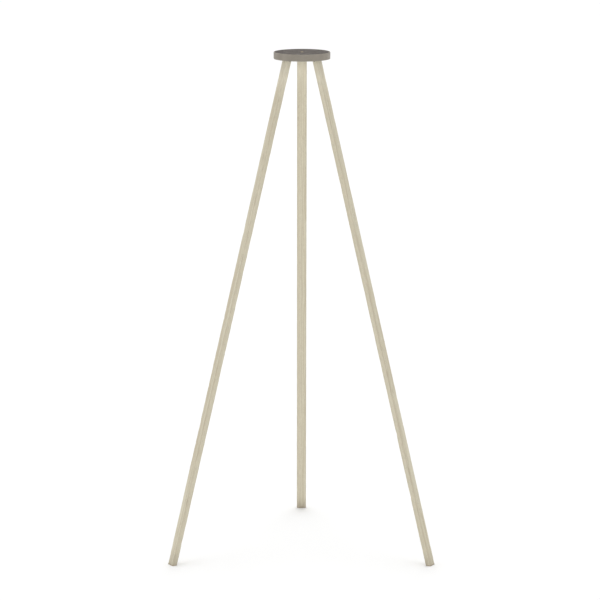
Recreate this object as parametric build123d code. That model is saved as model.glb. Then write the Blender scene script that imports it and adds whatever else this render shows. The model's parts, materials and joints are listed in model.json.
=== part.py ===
from build123d import *
import os
from math import atan, cos, pi, sin, tan

# Wooden field tripod with three one-piece legs, for a plate camera, a level or a small telescope.
# A round painted crown is hollow underneath. Three steel brackets screwed inside it carry the legs, and
# each leg turns on a bolt. Spread, a leg's squared top end bears on its bracket, which stops it there.
# A captive camera screw lies below the platform until it is lifted into a camera.
# Millimetres. +Z is up, and the origin is the centre of the platform, where the camera sits. The rear
# leg points along +Y, and the left and right legs come forward either side of -Y.

# Stance
HEIGHT = 1400.0  # floor to platform
FOOT_CIRCLE_RADIUS = 411.5  # tripod axis to the middle of a foot
LEGS = {"rear": 90.0, "left": 210.0, "right": 330.0}  # azimuth of each leg, in degrees

# Crown
CROWN_RADIUS = 78.0
CROWN_DEPTH = 19.0
SKIRT_THICKNESS = 4.5
WEB_UNDERSIDE = -5.5
RIM_DROP = 0.2  # the crown's rim lies this far below the platform
RIM_WIDTH = 2.5
LEATHER_THICKNESS = 1.5
LEATHER_EDGE_RADIUS = 0.4
SCREW_HOLE_RADIUS = 6.5
CROWN_EDGE_RADIUS = 1.2
CROWN_CORNER_RADIUS = 3.0  # inside, where the skirt meets the web
CROWN_LIP_RADIUS = 0.8
RIB_WIDTH = 4.0
RIB_DEPTH = 3.5
RIB_CLEARANCE = 2.0  # from the cage's flange to the ribs

# Legs
LEG_WIDTH = 27.0
LEG_THICKNESS = 15.0
LEG_EDGE_RADIUS = 3.0
FOOT_PAD_THICKNESS = 3.0
FOOT_SCREW = dict(head_radius=3.5, shank_radius=1.75, length=24.0)
FOOT_SCREW_INSET = 2.0  # the head's face lies this far above the floor, measured along the leg
FOOT_WELL_RADIUS = 3.9
STOP_GAP = 0.05
STOP_RISE = 0.25  # the squared top end stands this far above the rounded knuckle beside it
STOP_START = 1.0  # and begins this far outside the pin

# Hinges
PIN_CIRCLE_RADIUS = 46.0
BRACKET_LENGTH = 26.0
BRACKET_BASE = 3.0
BRACKET_CORNER_RADIUS = 3.0
BRACKET_SCREW = dict(head_radius=3.8, shank_radius=1.95, length=6.0)
BRACKET_SCREW_SPACING = (17.0, 18.0)  # along the radius, and across it
EAR_THICKNESS = 4.0
EAR_ROOT_LENGTH = 21.0
EAR_END_RADIUS = 5.5
FRICTION_WASHER = 0.9
FRICTION_WASHER_RADIUS = 7.25
BOLT_RADIUS = 3.0
BOLT_HEAD = dict(head_radius=5.0, head_height=3.4)
BOLT_END = 1.5  # how far the bolt stands out of its nut
LOCK_WASHER = 1.5
LOCK_WASHER_RADIUS = 5.2
LOCK_WASHER_SPLIT = 0.8
NUT_THICKNESS = 4.5
NUT_ACROSS_FLATS = 10.0
NUT_BEVEL = 0.7
BUSH_RADIUS = 4.0

# Camera screw, 3/8 inch across its thread
THREAD_RADIUS = 4.7625
THREAD_LENGTH = 6.0
THREAD_LEAD = 0.7
WAIST_RADIUS = 3.9
WAIST_TAPER = 0.6
SCREW_TRAVEL = 5.5
TIP_BELOW_PLATFORM = 0.5
COLLAR_RADIUS = 9.5
COLLAR_THICKNESS = 2.0
THRUST_WASHER = 0.8
THRUST_WASHER_RADIUS = 10.5
JOURNAL_RADIUS = 4.0
SPIGOT_RADIUS = 3.0
CAGE_SHEET = 1.2
CAGE_EDGE_RADIUS = 1.0
CAGE_CAVITY_RADIUS = 12.0
CAGE_FLANGE_RADIUS = 25.0
CAGE_SCREW = dict(head_radius=2.75, head_height=1.9, shank_radius=1.45, length=4.2)
CAGE_SCREW_CIRCLE = 19.5
CAGE_SCREW_AZIMUTHS = (30.0, 150.0, 270.0)
KNOB_RADIUS = 15.0
KNOB_THICKNESS = 4.8
KNOB_EDGE = 0.6
KNOB_CLEARANCE = 0.4  # from the knob to the cage when the screw is lifted
KNOB_PIN_RADIUS = 1.0
KNOB_PIN_INSET = 1.2
KNURLS = 48
KNURL_DEPTH = 0.55
KNURL_SHARE = 0.72  # of the edge that the grooves take

# Screw heads
SLOT_WIDTH = 0.9  # flat heads
SLOT_DEPTH = 0.9
CHEESE_SLOT_WIDTH = 0.25  # of the head's radius
CHEESE_SLOT_DEPTH = 0.45  # of the head's height
HEAD_EDGE = 0.35
BOLT_TURN = 20.0  # the angles at which slots and the washer's split were left
LOCK_WASHER_TURN = 25.0
CAGE_SCREW_TURN = 25.0
BRACKET_SCREW_TURNS = {"rear": 12.0, "left": 43.0, "right": 74.0}
NEXT_SCREW_TURN = 47.0

# Fits, each the gap on one side
FACE_GAP = 0.02  # faces that touch
SIDE_GAP = 0.05
RUNNING_GAP = 0.05
JOURNAL_GAP = 0.06
HOLE_GAP = 0.05
COLLAR_REST_GAP = 0.03
FOOT_SCREW_GAP = 0.03
PIN_GAP = 0.01
LEATHER_GAP = 0.1
LOOSE_GAP = 0.1
CLEARANCE_HOLE_GAP = 0.15
HOLE_SPARE = 0.1  # how much deeper a blind hole is than its screw
OVERRUN = 1.0  # how far cutters and joined shapes run past a face
TOLERANCE = 0.01  # how closely an edge is looked for by its size

# Worked out from the above
FLOOR = -HEIGHT
BRACKET_UNDERSIDE = WEB_UNDERSIDE - BRACKET_BASE
BRACKET_SCREW_PLACES = [
    (PIN_CIRCLE_RADIUS + i * BRACKET_SCREW_SPACING[0] / 2, j * BRACKET_SCREW_SPACING[1] / 2)
    for i in (-1, 1)
    for j in (-1, 1)
]
PIN_HEIGHT = BRACKET_UNDERSIDE - STOP_GAP - STOP_RISE - LEG_THICKNESS / 2
PIN = Vector(PIN_CIRCLE_RADIUS, 0, PIN_HEIGHT)
SPLAY = atan((FOOT_CIRCLE_RADIUS - PIN_CIRCLE_RADIUS) / (PIN_HEIGHT - FLOOR))
EAR_INSIDE = LEG_WIDTH / 2 + FRICTION_WASHER + 2 * SIDE_GAP
EAR_OUTSIDE = EAR_INSIDE + EAR_THICKNESS
WASHER_TOP = WEB_UNDERSIDE - SCREW_TRAVEL - SIDE_GAP
COLLAR_TOP = WASHER_TOP - THRUST_WASHER - FACE_GAP
COLLAR_BOTTOM = COLLAR_TOP - COLLAR_THICKNESS
CAGE_FLOOR = COLLAR_BOTTOM - COLLAR_REST_GAP
KNOB_TOP = CAGE_FLOOR - CAGE_SHEET - SCREW_TRAVEL - KNOB_CLEARANCE
KNOB_BOTTOM = KNOB_TOP - KNOB_THICKNESS
KNOB_MIDDLE = (KNOB_TOP + KNOB_BOTTOM) / 2
ALONG = Vector(sin(SPLAY), 0, -cos(SPLAY))  # down a leg along +X
FOOT = PIN + ALONG * ((PIN_HEIGHT - FLOOR) / cos(SPLAY))
FOOT_SCREW_PLACE = Plane(origin=FOOT - ALONG * FOOT_SCREW_INSET, x_dir=(0, 1, 0), z_dir=-ALONG).location


def export(name, *solids):
    """Writes one node's STEP, as a group where it has several solids."""
    shape = solids[0] if len(solids) == 1 else Compound(children=list(solids))
    export_step(shape, f"parts/{name}.step")


def turned(points):
    """A solid of revolution about Z, from (radius, height) points."""
    outline = Polyline([(r, 0, z) for r, z in points], close=True)
    return revolve(make_face(outline), axis=Axis.Z)


def rod(radius, start, end):
    """A round bar between two points."""
    along = Vector(*end) - Vector(*start)
    plane = Plane(origin=start, z_dir=along)
    return extrude(plane * Circle(radius), along.length)


def ring(outer, inner, start, end):
    """A round bar with a hole along it."""
    return rod(outer, start, end) - rod(inner, start, end)


def circles(shape, radius, height=None):
    """A shape's circular edges of one radius, or only those at one height."""
    found = [e for e in shape.edges().filter_by(GeomType.CIRCLE) if abs(e.radius - radius) < TOLERANCE]
    return [e for e in found if height is None or abs(e.center().Z - height) < TOLERANCE]


def countersunk_screw(head_radius, shank_radius, length):
    """A slotted flat-head screw. Its head's face is at the origin and it runs along +Z."""
    cone = head_radius - shank_radius
    body = turned([(0, 0), (head_radius, 0), (shank_radius, cone), (shank_radius, length), (0, length)])
    return body - Box(3 * head_radius, SLOT_WIDTH, 2 * SLOT_DEPTH)


def countersunk_hole(head_radius, shank_radius, length, gap):
    """The space that such a screw takes, a little larger all round."""
    head, shank = head_radius + gap, shank_radius + gap
    return turned([(0, 0), (head, 0), (shank, head - shank), (shank, length), (0, length)])


def cheese_head_screw(head_radius, head_height, shank_radius, length):
    """A slotted cheese-head screw. Its shank runs along +Z from the origin, and its head hangs below."""
    body = turned(
        [
            (0, -head_height),
            (head_radius - HEAD_EDGE, -head_height),
            (head_radius, HEAD_EDGE - head_height),
            (head_radius, 0),
            (shank_radius, 0),
            (shank_radius, length),
            (0, length),
        ]
    )
    slot = Box(3 * head_radius, CHEESE_SLOT_WIDTH * head_radius, 2 * CHEESE_SLOT_DEPTH * head_height)
    return body - Pos(0, 0, -head_height) * slot


def around(azimuth, shape):
    """A shape made for a leg along +X, turned to a leg's azimuth."""
    return Rot(0, 0, azimuth) * shape


# ---- Crown ----


def crown():
    """A cast cap, open below, with a shallow seat for the leather and a rib between each pair of legs."""
    rim_top, inner = -RIM_DROP, CROWN_RADIUS - SKIRT_THICKNESS
    seat = CROWN_RADIUS - RIM_WIDTH
    cap = turned(
        [
            (SCREW_HOLE_RADIUS, -LEATHER_THICKNESS),
            (seat, -LEATHER_THICKNESS),
            (seat, rim_top),
            (CROWN_RADIUS, rim_top),
            (CROWN_RADIUS, -CROWN_DEPTH),
            (inner, -CROWN_DEPTH),
            (inner, WEB_UNDERSIDE),
            (SCREW_HOLE_RADIUS, WEB_UNDERSIDE),
        ]
    )
    cap = fillet(circles(cap, CROWN_RADIUS), CROWN_EDGE_RADIUS)
    cap = fillet(circles(cap, inner, WEB_UNDERSIDE), CROWN_CORNER_RADIUS)
    cap = fillet(circles(cap, inner, -CROWN_DEPTH), CROWN_LIP_RADIUS)
    rib_start, rib_end = CAGE_FLANGE_RADIUS + RIB_CLEARANCE, inner + OVERRUN
    for azimuth in CAGE_SCREW_AZIMUTHS:
        rib = Pos((rib_start + rib_end) / 2, 0, WEB_UNDERSIDE - RIB_DEPTH / 2) * Box(
            rib_end - rib_start, RIB_WIDTH, RIB_DEPTH
        )
        cap += around(azimuth, rib)
    low = WEB_UNDERSIDE - OVERRUN
    high = BRACKET_UNDERSIDE + BRACKET_SCREW["length"] + HOLE_SPARE
    radius = BRACKET_SCREW["shank_radius"] + HOLE_GAP
    for azimuth in LEGS.values():
        for x, y in BRACKET_SCREW_PLACES:
            cap -= around(azimuth, rod(radius, (x, y, low), (x, y, high)))
    high = WEB_UNDERSIDE - CAGE_SHEET + CAGE_SCREW["length"] + HOLE_SPARE
    radius = CAGE_SCREW["shank_radius"] + HOLE_GAP
    for azimuth in CAGE_SCREW_AZIMUTHS:
        cap -= around(azimuth, rod(radius, (CAGE_SCREW_CIRCLE, 0, low), (CAGE_SCREW_CIRCLE, 0, high)))
    return cap


def platform_leather():
    """The leather that the camera sits on, glued into the crown's seat."""
    radius = CROWN_RADIUS - RIM_WIDTH - LEATHER_GAP
    disc = ring(radius, SCREW_HOLE_RADIUS, (0, 0, -LEATHER_THICKNESS), (0, 0, 0))
    return fillet(circles(disc, radius, 0), LEATHER_EDGE_RADIUS)


# ---- Camera screw ----


def screw_cage():
    """A dished plate under the crown. It guides the camera screw's stem and keeps its collar in."""
    bore, wall = JOURNAL_RADIUS + JOURNAL_GAP, CAGE_CAVITY_RADIUS + CAGE_SHEET
    cage = turned(
        [
            (bore, CAGE_FLOOR),
            (CAGE_CAVITY_RADIUS, CAGE_FLOOR),
            (CAGE_CAVITY_RADIUS, WEB_UNDERSIDE),
            (CAGE_FLANGE_RADIUS, WEB_UNDERSIDE),
            (CAGE_FLANGE_RADIUS, WEB_UNDERSIDE - CAGE_SHEET),
            (wall, WEB_UNDERSIDE - CAGE_SHEET),
            (wall, CAGE_FLOOR - CAGE_SHEET),
            (bore, CAGE_FLOOR - CAGE_SHEET),
        ]
    )
    cage = fillet(circles(cage, wall, CAGE_FLOOR - CAGE_SHEET), CAGE_EDGE_RADIUS)
    radius = CAGE_SCREW["shank_radius"] + CLEARANCE_HOLE_GAP
    low, high = WEB_UNDERSIDE - CAGE_SHEET - OVERRUN, WEB_UNDERSIDE + OVERRUN
    for azimuth in CAGE_SCREW_AZIMUTHS:
        cage -= around(azimuth, rod(radius, (CAGE_SCREW_CIRCLE, 0, low), (CAGE_SCREW_CIRCLE, 0, high)))
    return cage


def cage_screws():
    """Three cheese-head screws up into the crown's web."""
    screw = Rot(0, 0, CAGE_SCREW_TURN) * cheese_head_screw(**CAGE_SCREW)
    place = Pos(CAGE_SCREW_CIRCLE, 0, WEB_UNDERSIDE - CAGE_SHEET)
    return [around(azimuth, place * screw) for azimuth in CAGE_SCREW_AZIMUTHS]


def camera_screw():
    """The turned screw: thread, waist, collar, stem and the spigot that the knob is pinned to."""
    tip = -TIP_BELOW_PLATFORM
    thread_end = tip - THREAD_LENGTH
    screw = turned(
        [
            (0, tip),
            (THREAD_RADIUS - THREAD_LEAD, tip),
            (THREAD_RADIUS, tip - THREAD_LEAD),
            (THREAD_RADIUS, thread_end),
            (WAIST_RADIUS, thread_end - WAIST_TAPER),
            (WAIST_RADIUS, COLLAR_TOP),
            (COLLAR_RADIUS, COLLAR_TOP),
            (COLLAR_RADIUS, COLLAR_BOTTOM),
            (JOURNAL_RADIUS, COLLAR_BOTTOM),
            (JOURNAL_RADIUS, KNOB_TOP),
            (SPIGOT_RADIUS, KNOB_TOP),
            (SPIGOT_RADIUS, KNOB_BOTTOM),
            (0, KNOB_BOTTOM),
        ]
    )
    return screw - cross_rod(KNOB_PIN_RADIUS + PIN_GAP, KNOB_RADIUS)


def thrust_washer():
    """The washer between the screw's collar and the crown, which takes the clamping force."""
    bore = THREAD_RADIUS + CLEARANCE_HOLE_GAP
    return ring(THRUST_WASHER_RADIUS, bore, (0, 0, WASHER_TOP - THRUST_WASHER), (0, 0, WASHER_TOP))


def knob():
    """A thin disc with a knurled edge, bored for the screw's spigot and cross-drilled for its pin."""
    bore, top = SPIGOT_RADIUS + FACE_GAP, KNOB_TOP - FACE_GAP
    disc = turned(
        [
            (bore, top),
            (KNOB_RADIUS - KNOB_EDGE, top),
            (KNOB_RADIUS, top - KNOB_EDGE),
            (KNOB_RADIUS, KNOB_BOTTOM + KNOB_EDGE),
            (KNOB_RADIUS - KNOB_EDGE, KNOB_BOTTOM),
            (bore, KNOB_BOTTOM),
        ]
    )
    half = pi * KNOB_RADIUS / KNURLS * KNURL_SHARE
    widening = 1 + OVERRUN / KNURL_DEPTH  # where the groove's sides reach the overrun
    groove = Polyline(
        [
            (KNOB_RADIUS + OVERRUN, -half * widening),
            (KNOB_RADIUS + OVERRUN, half * widening),
            (KNOB_RADIUS - KNURL_DEPTH, 0),
        ],
        close=True,
    )
    start = Pos(0, 0, KNOB_BOTTOM - OVERRUN)
    tooth_gap = extrude(start * make_face(groove), KNOB_THICKNESS + 2 * OVERRUN)
    step = 360.0 / KNURLS
    disc = disc - [Rot(0, 0, (i + 0.5) * step) * tooth_gap for i in range(KNURLS)]
    return disc - cross_rod(KNOB_PIN_RADIUS + PIN_GAP, KNOB_RADIUS + OVERRUN)


def cross_rod(radius, half_length):
    """A rod across the knob, halfway up it."""
    return rod(radius, (-half_length, 0, KNOB_MIDDLE), (half_length, 0, KNOB_MIDDLE))


def knob_pin():
    """The cross-pin through the knob and the screw's spigot."""
    return cross_rod(KNOB_PIN_RADIUS, KNOB_RADIUS - KNOB_PIN_INSET)


# ---- Hinges, made for a leg along +X ----


def hinge_bracket():
    """A U of steel: a base under the crown's web and an ear each side of the leg."""
    middle = (BRACKET_UNDERSIDE + WEB_UNDERSIDE) / 2
    base = Pos(PIN.X, 0, middle) * Box(BRACKET_LENGTH, 2 * EAR_OUTSIDE, BRACKET_BASE)
    base = fillet(base.edges().filter_by(Axis.Z), BRACKET_CORNER_RADIUS)
    root = Line((-EAR_ROOT_LENGTH / 2, middle), (EAR_ROOT_LENGTH / 2, middle))
    end = Pos(0, PIN_HEIGHT) * CenterArc((0, 0), EAR_END_RADIUS, 0, 360)
    profile = make_hull([*root.edges(), *end.edges()])
    ear = extrude(Plane.XZ.offset(-EAR_THICKNESS) * profile, EAR_THICKNESS)
    for side in (EAR_INSIDE, -EAR_OUTSIDE):
        base += Pos(PIN.X, side, 0) * ear
    across = EAR_OUTSIDE + OVERRUN
    base -= rod(BOLT_RADIUS + RUNNING_GAP, (PIN.X, -across, PIN.Z), (PIN.X, across, PIN.Z))
    for x, y in BRACKET_SCREW_PLACES:
        base -= Pos(x, y, BRACKET_UNDERSIDE) * countersunk_hole(**BRACKET_SCREW, gap=HOLE_GAP)
    return base


def bracket_screws(turn):
    """Four flat-head screws up into the crown's web, their slots left at different angles."""
    screw = countersunk_screw(**BRACKET_SCREW)
    return [
        Pos(x, y, BRACKET_UNDERSIDE + FACE_GAP) * Rot(0, 0, turn + NEXT_SCREW_TURN * i) * screw
        for i, (x, y) in enumerate(BRACKET_SCREW_PLACES)
    ]


def hinge_bolt():
    """The bolt that the leg turns on, its slotted head against one ear."""
    length = 2 * EAR_OUTSIDE + LOCK_WASHER + NUT_THICKNESS + BOLT_END
    bolt = cheese_head_screw(**BOLT_HEAD, shank_radius=BOLT_RADIUS, length=length)
    place = Pos(PIN.X, -EAR_OUTSIDE - FACE_GAP, PIN.Z) * Rot(-90, 0, 0)
    return place * Rot(0, 0, BOLT_TURN) * bolt


def lock_washer():
    """A split spring washer under the nut."""
    bore, start = BOLT_RADIUS + LOOSE_GAP, EAR_OUTSIDE + FACE_GAP
    washer = ring(LOCK_WASHER_RADIUS, bore, (PIN.X, start, PIN.Z), (PIN.X, start + LOCK_WASHER, PIN.Z))
    wall = (bore + LOCK_WASHER_RADIUS) / 2
    split = Box(LOCK_WASHER_SPLIT, 3 * LOCK_WASHER, 2 * (LOCK_WASHER_RADIUS - bore))
    place = Pos(PIN.X, start + LOCK_WASHER / 2, PIN.Z - wall) * Rot(0, 0, LOCK_WASHER_TURN)
    return washer - place * split


def hinge_nut():
    """A hexagon nut on the bolt's far end."""
    start = EAR_OUTSIDE + LOCK_WASHER + 2 * FACE_GAP
    corner = NUT_ACROSS_FLATS / 2 / cos(pi / 6)
    plane = Plane(origin=(PIN.X, start, PIN.Z), x_dir=(1, 0, 0), z_dir=(0, 1, 0))
    nut = extrude(plane * RegularPolygon(corner, 6), NUT_THICKNESS)
    bevelled = turned(
        [
            (0, 0),
            (corner - NUT_BEVEL, 0),
            (corner, NUT_BEVEL),
            (corner, NUT_THICKNESS - NUT_BEVEL),
            (corner - NUT_BEVEL, NUT_THICKNESS),
            (0, NUT_THICKNESS),
        ]
    )
    nut = nut & (plane.location * bevelled)
    near, far = start - OVERRUN, start + NUT_THICKNESS + OVERRUN
    return nut - rod(BOLT_RADIUS + FACE_GAP, (PIN.X, near, PIN.Z), (PIN.X, far, PIN.Z))


def friction_washers():
    """A leather washer each side of the leg, squeezed by the ears so that the leg stays where it is put."""
    start = LEG_WIDTH / 2 + SIDE_GAP
    near, far = (PIN.X, start, PIN.Z), (PIN.X, start + FRICTION_WASHER, PIN.Z)
    one = ring(FRICTION_WASHER_RADIUS, BOLT_RADIUS + RUNNING_GAP, near, far)
    return [one, mirror(one, about=Plane.XZ)]


# ---- Legs, made for a leg along +X ----


def leg_bar():
    """The leg's rounded section, run well past both ends."""
    section = RectangleRounded(LEG_WIDTH, LEG_THICKNESS, LEG_EDGE_RADIUS)
    spare = ALONG * 2 * LEG_WIDTH
    plane = Plane(origin=PIN - spare, x_dir=(0, 1, 0), z_dir=ALONG)
    return extrude(plane * section, (FOOT - PIN + spare * 2).length)


def side_outline(bottom):
    """The leg seen from its side: level at the bottom, and at the top a land that the bracket stops."""
    half = LEG_THICKNESS / 2
    skew = half / cos(SPLAY)
    drop, rise = PIN_HEIGHT - bottom, half + STOP_RISE
    inner_top = PIN - Vector(cos(SPLAY), 0, sin(SPLAY)) * half
    knuckle_turn = (pi / 2 + SPLAY) / 2
    knuckle = PIN + Vector(-sin(knuckle_turn), 0, cos(knuckle_turn)) * half
    knuckle_top = PIN + Vector(0, 0, half)
    land_start = PIN + Vector(STOP_START, 0, rise)
    land_end = PIN + Vector(skew - rise * tan(SPLAY), 0, rise)
    outer_foot = PIN + Vector(skew + drop * tan(SPLAY), 0, -drop)
    inner_foot = PIN + Vector(drop * tan(SPLAY) - skew, 0, -drop)
    edges = [
        ThreePointArc(inner_top, knuckle, knuckle_top),
        Line(knuckle_top, land_start),
        Line(land_start, land_end),
        Line(land_end, outer_foot),
        Line(outer_foot, inner_foot),
        Line(inner_foot, inner_top),
    ]
    return make_face(Curve() + edges)


def leg():
    """One straight stick of wood, bored for its bush and drilled for its foot screw."""
    outline = extrude(side_outline(FLOOR + FOOT_PAD_THICKNESS), LEG_WIDTH, both=True)
    stick = outline & leg_bar()
    stick -= rod(BUSH_RADIUS, (PIN.X, -LEG_WIDTH, PIN.Z), (PIN.X, LEG_WIDTH, PIN.Z))
    return stick - FOOT_SCREW_PLACE * countersunk_hole(**FOOT_SCREW, gap=FOOT_SCREW_GAP)


def leg_bush():
    """The tube in the leg that turns on the bolt."""
    end = LEG_WIDTH / 2
    return ring(BUSH_RADIUS - FACE_GAP, BOLT_RADIUS + RUNNING_GAP, (PIN.X, -end, PIN.Z), (PIN.X, end, PIN.Z))


def foot_pad():
    """The sole under a leg, with the leg's own section and a well for its screw."""
    middle = FLOOR + FOOT_PAD_THICKNESS / 2
    slab = Pos(FOOT.X, 0, middle) * Box(2 * LEG_WIDTH, 2 * LEG_WIDTH, FOOT_PAD_THICKNESS)
    sole = slab & leg_bar()
    sole -= FOOT_SCREW_PLACE * countersunk_hole(**FOOT_SCREW, gap=FOOT_SCREW_GAP)
    return sole - rod(FOOT_WELL_RADIUS, FOOT + ALONG * FOOT_WELL_RADIUS, FOOT - ALONG * FOOT_SCREW_INSET)


def foot_screw():
    """The wood screw that holds the sole, its head sunk clear of the floor."""
    return FOOT_SCREW_PLACE * countersunk_screw(**FOOT_SCREW)


def build():
    """Makes every node and writes it."""
    os.makedirs("parts", exist_ok=True)
    export("crown", crown())
    export("platform_leather", platform_leather())
    export("screw_cage", screw_cage())
    export("cage_screws", *cage_screws())
    export("camera_screw", camera_screw())
    export("thrust_washer", thrust_washer())
    export("camera_screw_knob", knob())
    export("knob_pin", knob_pin())
    made = {
        "hinge_bracket": [hinge_bracket()],
        "hinge_bolt": [hinge_bolt()],
        "lock_washer": [lock_washer()],
        "hinge_nut": [hinge_nut()],
        "friction_washers": friction_washers(),
        "leg": [leg()],
        "leg_bush": [leg_bush()],
        "foot_pad": [foot_pad()],
        "foot_screw": [foot_screw()],
    }
    for name, azimuth in LEGS.items():
        for node, solids in made.items():
            export(f"{name}_{node}", *[around(azimuth, s) for s in solids])
        screws = bracket_screws(BRACKET_SCREW_TURNS[name])
        export(f"{name}_bracket_screws", *[around(azimuth, s) for s in screws])


build()
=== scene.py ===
"""Looks for the wooden field tripod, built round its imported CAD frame. Metres, +Z up, platform at z = 0."""

import json
import random
from functools import partialmethod
from math import acos, atan2, ceil, cos, exp, pi, radians, sin, sqrt, tan

import bmesh
import bpy
import numpy as np
from mathutils import Matrix, Vector, kdtree, noise


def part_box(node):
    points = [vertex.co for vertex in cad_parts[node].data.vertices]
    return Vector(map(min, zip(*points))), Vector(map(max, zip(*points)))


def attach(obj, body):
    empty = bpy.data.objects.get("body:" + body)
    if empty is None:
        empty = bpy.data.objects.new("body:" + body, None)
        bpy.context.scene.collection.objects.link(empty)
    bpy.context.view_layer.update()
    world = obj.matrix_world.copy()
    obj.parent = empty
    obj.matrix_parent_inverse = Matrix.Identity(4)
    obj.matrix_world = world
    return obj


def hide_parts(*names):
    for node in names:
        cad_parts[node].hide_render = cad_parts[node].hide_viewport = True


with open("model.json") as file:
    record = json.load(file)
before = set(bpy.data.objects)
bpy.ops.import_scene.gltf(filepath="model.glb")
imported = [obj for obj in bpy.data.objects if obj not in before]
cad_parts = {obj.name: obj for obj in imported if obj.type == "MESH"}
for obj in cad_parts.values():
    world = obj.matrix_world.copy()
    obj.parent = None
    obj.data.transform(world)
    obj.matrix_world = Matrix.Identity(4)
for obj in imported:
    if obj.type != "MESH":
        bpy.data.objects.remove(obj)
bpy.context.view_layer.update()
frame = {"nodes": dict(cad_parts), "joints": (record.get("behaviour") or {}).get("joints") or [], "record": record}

MM = 0.001
UP = Vector((0, 0, 1))
LEGS = ("rear", "left", "right")
JOINTS = {joint["name"]: joint for joint in frame["joints"]}
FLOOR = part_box("rear_foot_pad")[0].z

# Sizes of the CAD solids that the pieces below stand for. The web is the crown's flat part.
CROWN_LOW, CROWN_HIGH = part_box("crown")
CROWN_RADIUS, CROWN_TOP, CROWN_BOTTOM = CROWN_HIGH.x, CROWN_HIGH.z, CROWN_LOW.z
WEB_UNDERSIDE = -5.5 * MM
SKIRT_THICKNESS = 4.5 * MM
RIM_WIDTH = 2.5 * MM
LEATHER_THICKNESS = 1.5 * MM
SCREW_HOLE = 6.5 * MM
RIB_AZIMUTHS = (30, 150, 270)
LEG_WIDTH, LEG_THICKNESS, LEG_EDGE = 27 * MM, 15 * MM, 3 * MM
FOOT_CIRCLE = 411.5 * MM
FOOT_PAD = 3 * MM
STOP_RISE, STOP_START = 0.25 * MM, 1 * MM
BUSH_RADIUS = 4 * MM
EAR_INSIDE, EAR_OUTSIDE = 14.5 * MM, 18.5 * MM

# Meshing limits: what counts as on a lathe's axis, as a sliver edge, and as a height's rounding error
ON_AXIS = 1e-7
SLIVER = 0.0002 * MM
ROUNDING = 1e-9


# ---- Meshes ----


def in_scene(name, data):
    """A new object with a mesh, lamp or camera, in the scene."""
    made = bpy.data.objects.new(name, data)
    bpy.context.scene.collection.objects.link(made)
    return made


def new_object(name, vertices, faces, sharp_angle=30):
    """A smooth-shaded object in the row frame, with sharp edges where faces meet at more than an angle."""
    mesh = bpy.data.meshes.new(name)
    mesh.from_pydata([tuple(v) for v in vertices], [], faces)
    turned = bmesh.new()
    turned.from_mesh(mesh)
    bmesh.ops.recalc_face_normals(turned, faces=turned.faces)
    turned.to_mesh(mesh)
    turned.free()
    mesh.shade_smooth()
    mesh.set_sharp_from_angle(angle=radians(sharp_angle))
    return in_scene(name, mesh)


def paint(piece, name, values):
    """Stores one number or one vector for each vertex, for the piece's material to read."""
    values = np.asarray(values, np.float32)
    kind, key = ("FLOAT_VECTOR", "vector") if values.ndim == 2 else ("FLOAT", "value")
    attribute = piece.data.attributes.new(name, kind, "POINT")
    attribute.data.foreach_set(key, values.ravel())


def points_of(piece):
    """A piece's vertices as an array."""
    flat = np.zeros(3 * len(piece.data.vertices))
    piece.data.vertices.foreach_get("co", flat)
    return flat.reshape(-1, 3)


def rounded_outline(corners, steps=5):
    """A closed outline from (x, y, radius) corners, each corner an arc of its radius."""
    outline = []
    for i, (x, y, radius) in enumerate(corners):
        corner = Vector((x, y))
        back = (Vector(corners[i - 1][:2]) - corner).normalized()
        on = (Vector(corners[(i + 1) % len(corners)][:2]) - corner).normalized()
        if radius == 0:
            outline.append(corner)
            continue
        half = back.angle(on) / 2
        centre = corner + (back + on).normalized() * radius / sin(half)
        start = corner + back * radius / tan(half) - centre
        turn = start.angle_signed(corner + on * radius / tan(half) - centre)
        for step in range(steps + 1):
            swung = start.copy()
            swung.rotate(Matrix.Rotation(-turn * step / steps, 2))
            outline.append(centre + swung)
    return outline


def lathe(name, outline, segments, shape=None, sharp_angle=30):
    """A closed (radius, height) outline turned about Z. Points at radius 0 become the ends' centres.

    shape(radius, height, angle) may return another radius and height, for what isn't quite round.
    """
    vertices, faces, rings = [], [], []
    for radius, height in outline:
        count = segments if radius > ON_AXIS else 1
        rings.append(range(len(vertices), len(vertices) + count))
        for k in range(count):
            angle = 2 * pi * k / segments
            r, z = shape(radius, height, angle) if shape and count > 1 else (radius, height)
            vertices.append((r * cos(angle), r * sin(angle), z))
    for ring, after in zip(rings, rings[1:] + rings[:1]):
        for k in range(segments):
            near, far = k, (k + 1) % segments
            if len(ring) > 1 and len(after) > 1:
                faces.append((ring[near], after[near], after[far], ring[far]))
            elif len(ring) > 1:
                faces.append((ring[near], after[0], ring[far]))
            elif len(after) > 1:
                faces.append((ring[0], after[near], after[far]))
    return new_object(name, vertices, faces, sharp_angle)


def sleeve(count, levels):
    """The faces between rings of vertices, each ring with the same count, numbered one ring after another."""
    faces = []
    for level in range(levels):
        near, far = level * count, (level + 1) * count
        faces += [(near + i, near + (i + 1) % count, far + (i + 1) % count, far + i) for i in range(count)]
    return faces


def prism(name, outline, low, high, soft):
    """A convex, anticlockwise (x, y) outline run from one height to another, with its ends' edges rounded."""
    outwards = []
    for before, here, after in zip(outline[-1:] + outline[:-1], outline, outline[1:] + outline[:1]):
        along = (here - before).normalized() + (after - here).normalized()
        outwards.append(Vector((along.y, -along.x)).normalized())
    steps = 3
    turns = [pi / 2 * step / steps for step in range(steps + 1)]
    rings = [(soft * (1 - sin(turn)), low + soft * (1 - cos(turn))) for turn in turns]
    rings += [(inset, low + high - height) for inset, height in reversed(rings)]
    vertices = [
        (*(point - outward * inset), height)
        for inset, height in rings
        for point, outward in zip(outline, outwards)
    ]
    count = len(outline)
    faces = sleeve(count, len(rings) - 1)
    faces += [tuple(range(count)), tuple(range(len(vertices) - count, len(vertices)))]
    return new_object(name, vertices, faces)


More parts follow.
